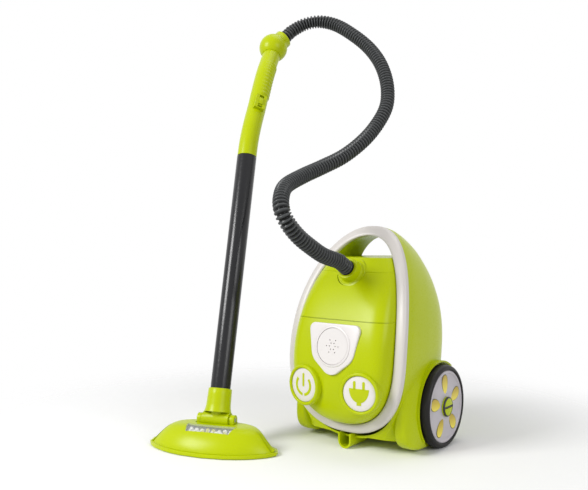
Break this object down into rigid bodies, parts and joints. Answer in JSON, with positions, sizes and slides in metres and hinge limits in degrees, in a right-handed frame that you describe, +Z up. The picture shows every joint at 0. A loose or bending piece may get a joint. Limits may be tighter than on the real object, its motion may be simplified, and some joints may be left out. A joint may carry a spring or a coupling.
{
  "type": "toy vacuum cleaner",
  "caption": "Toy canister vacuum cleaner with carrying arch, spoked-look wheels, press buttons, ribbed hose, bent handle, straight tube and hinged floor head with bead window.",
  "frame": {"origin": "on the floor under the middle of the box round canister and wand, hose left out", "axes": "+X along the wheel axle to the right, +Y to the back of the canister, +Z up"},
  "size_m": [0.3305, 0.3326, 0.6138],
  "materials": {
    "green_plastic": "satin moulded",
    "tube_plastic": "smooth moulded",
    "pale_plastic": "satin moulded",
    "button_plastic": "satin moulded",
    "black_plastic": "matt moulded",
    "hose_black": "satin blow moulded",
    "tyre_black": "matt moulded",
    "board": "laminate",
    "speaker_black": "painted",
    "screw_steel": "zinc plated",
    "axle_steel": "drawn",
    "battery_jacket": "printed sleeve",
    "clear_plastic": "clear moulded",
    "bead_plastic": "moulded"
  },
  "bodies": {
    "body": {"rear_shell": "green_plastic", "handle_band": "pale_plastic", "front_cover": "green_plastic", "upper_panel": "green_plastic", "top_cap": "green_plastic", "speaker_bezel": "pale_plastic", "circuit_board": "board", "switches": "black_plastic", "speaker": "speaker_black", "board_screws": "screw_steel", "batteries": "battery_jacket", "battery_cover": "green_plastic", "axle": "axle_steel", "neck": "green_plastic", "wand_tube": "tube_plastic", "handle": "green_plastic", "slide_rail": "green_plastic", "hose_elbow": "green_plastic", "hose_plug_body": "black_plastic", "hose_plug_handle": "black_plastic", "hose": "hose_black"},
    "left_wheel": {"left_tyre": "tyre_black", "left_hub": "pale_plastic", "left_hub_cap": "green_plastic"},
    "right_wheel": {"right_tyre": "tyre_black", "right_hub": "pale_plastic", "right_hub_cap": "green_plastic"},
    "sound": {"sound_button": "pale_plastic"},
    "power": {"power_button": "button_plastic"},
    "cord": {"cord_button": "button_plastic"},
    "slide": {"suction_slide": "green_plastic"},
    "head": {"head_cover": "green_plastic", "neck_bracket": "green_plastic", "window": "clear_plastic", "head_base": "green_plastic", "bead_tray": "pale_plastic", "beads": "bead_plastic", "pivot_pin": "axle_steel"}
  },
  "joints": [
    {"name": "left_wheel_spin", "type": "hinge", "parent": "body", "child": "left_wheel", "pos_m": [-0.03886, 0.08085, 0.052], "axis": [1, 0, 0], "continuous": true},
    {"name": "right_wheel_spin", "type": "hinge", "parent": "body", "child": "right_wheel", "pos_m": [0.16314, 0.08085, 0.052], "axis": [1, 0, 0], "continuous": true},
    {"name": "sound_press", "type": "slide", "parent": "body", "child": "sound", "axis": [0, 0.986, -0.167], "range_m": [0, 0.0025], "stiffness_N_per_m": 400},
    {"name": "power_press", "type": "slide", "parent": "body", "child": "power", "axis": [0.1513, 0.9885, 0], "range_m": [0, 0.0025], "stiffness_N_per_m": 400},
    {"name": "cord_press", "type": "slide", "parent": "body", "child": "cord", "axis": [-0.1513, 0.9885, 0], "range_m": [0, 0.0025], "stiffness_N_per_m": 400},
    {"name": "suction_slide_run", "type": "slide", "parent": "body", "child": "slide", "axis": [-0.1794, 0.4928, 0.8514], "range_m": [-0.003, 0.003]},
    {"name": "head_tilt", "type": "hinge", "parent": "body", "child": "head", "pos_m": [-0.07076, -0.09425, 0.035], "axis": [0.9397, 0.342, 0], "range_deg": [-18, 18]}
  ]
}
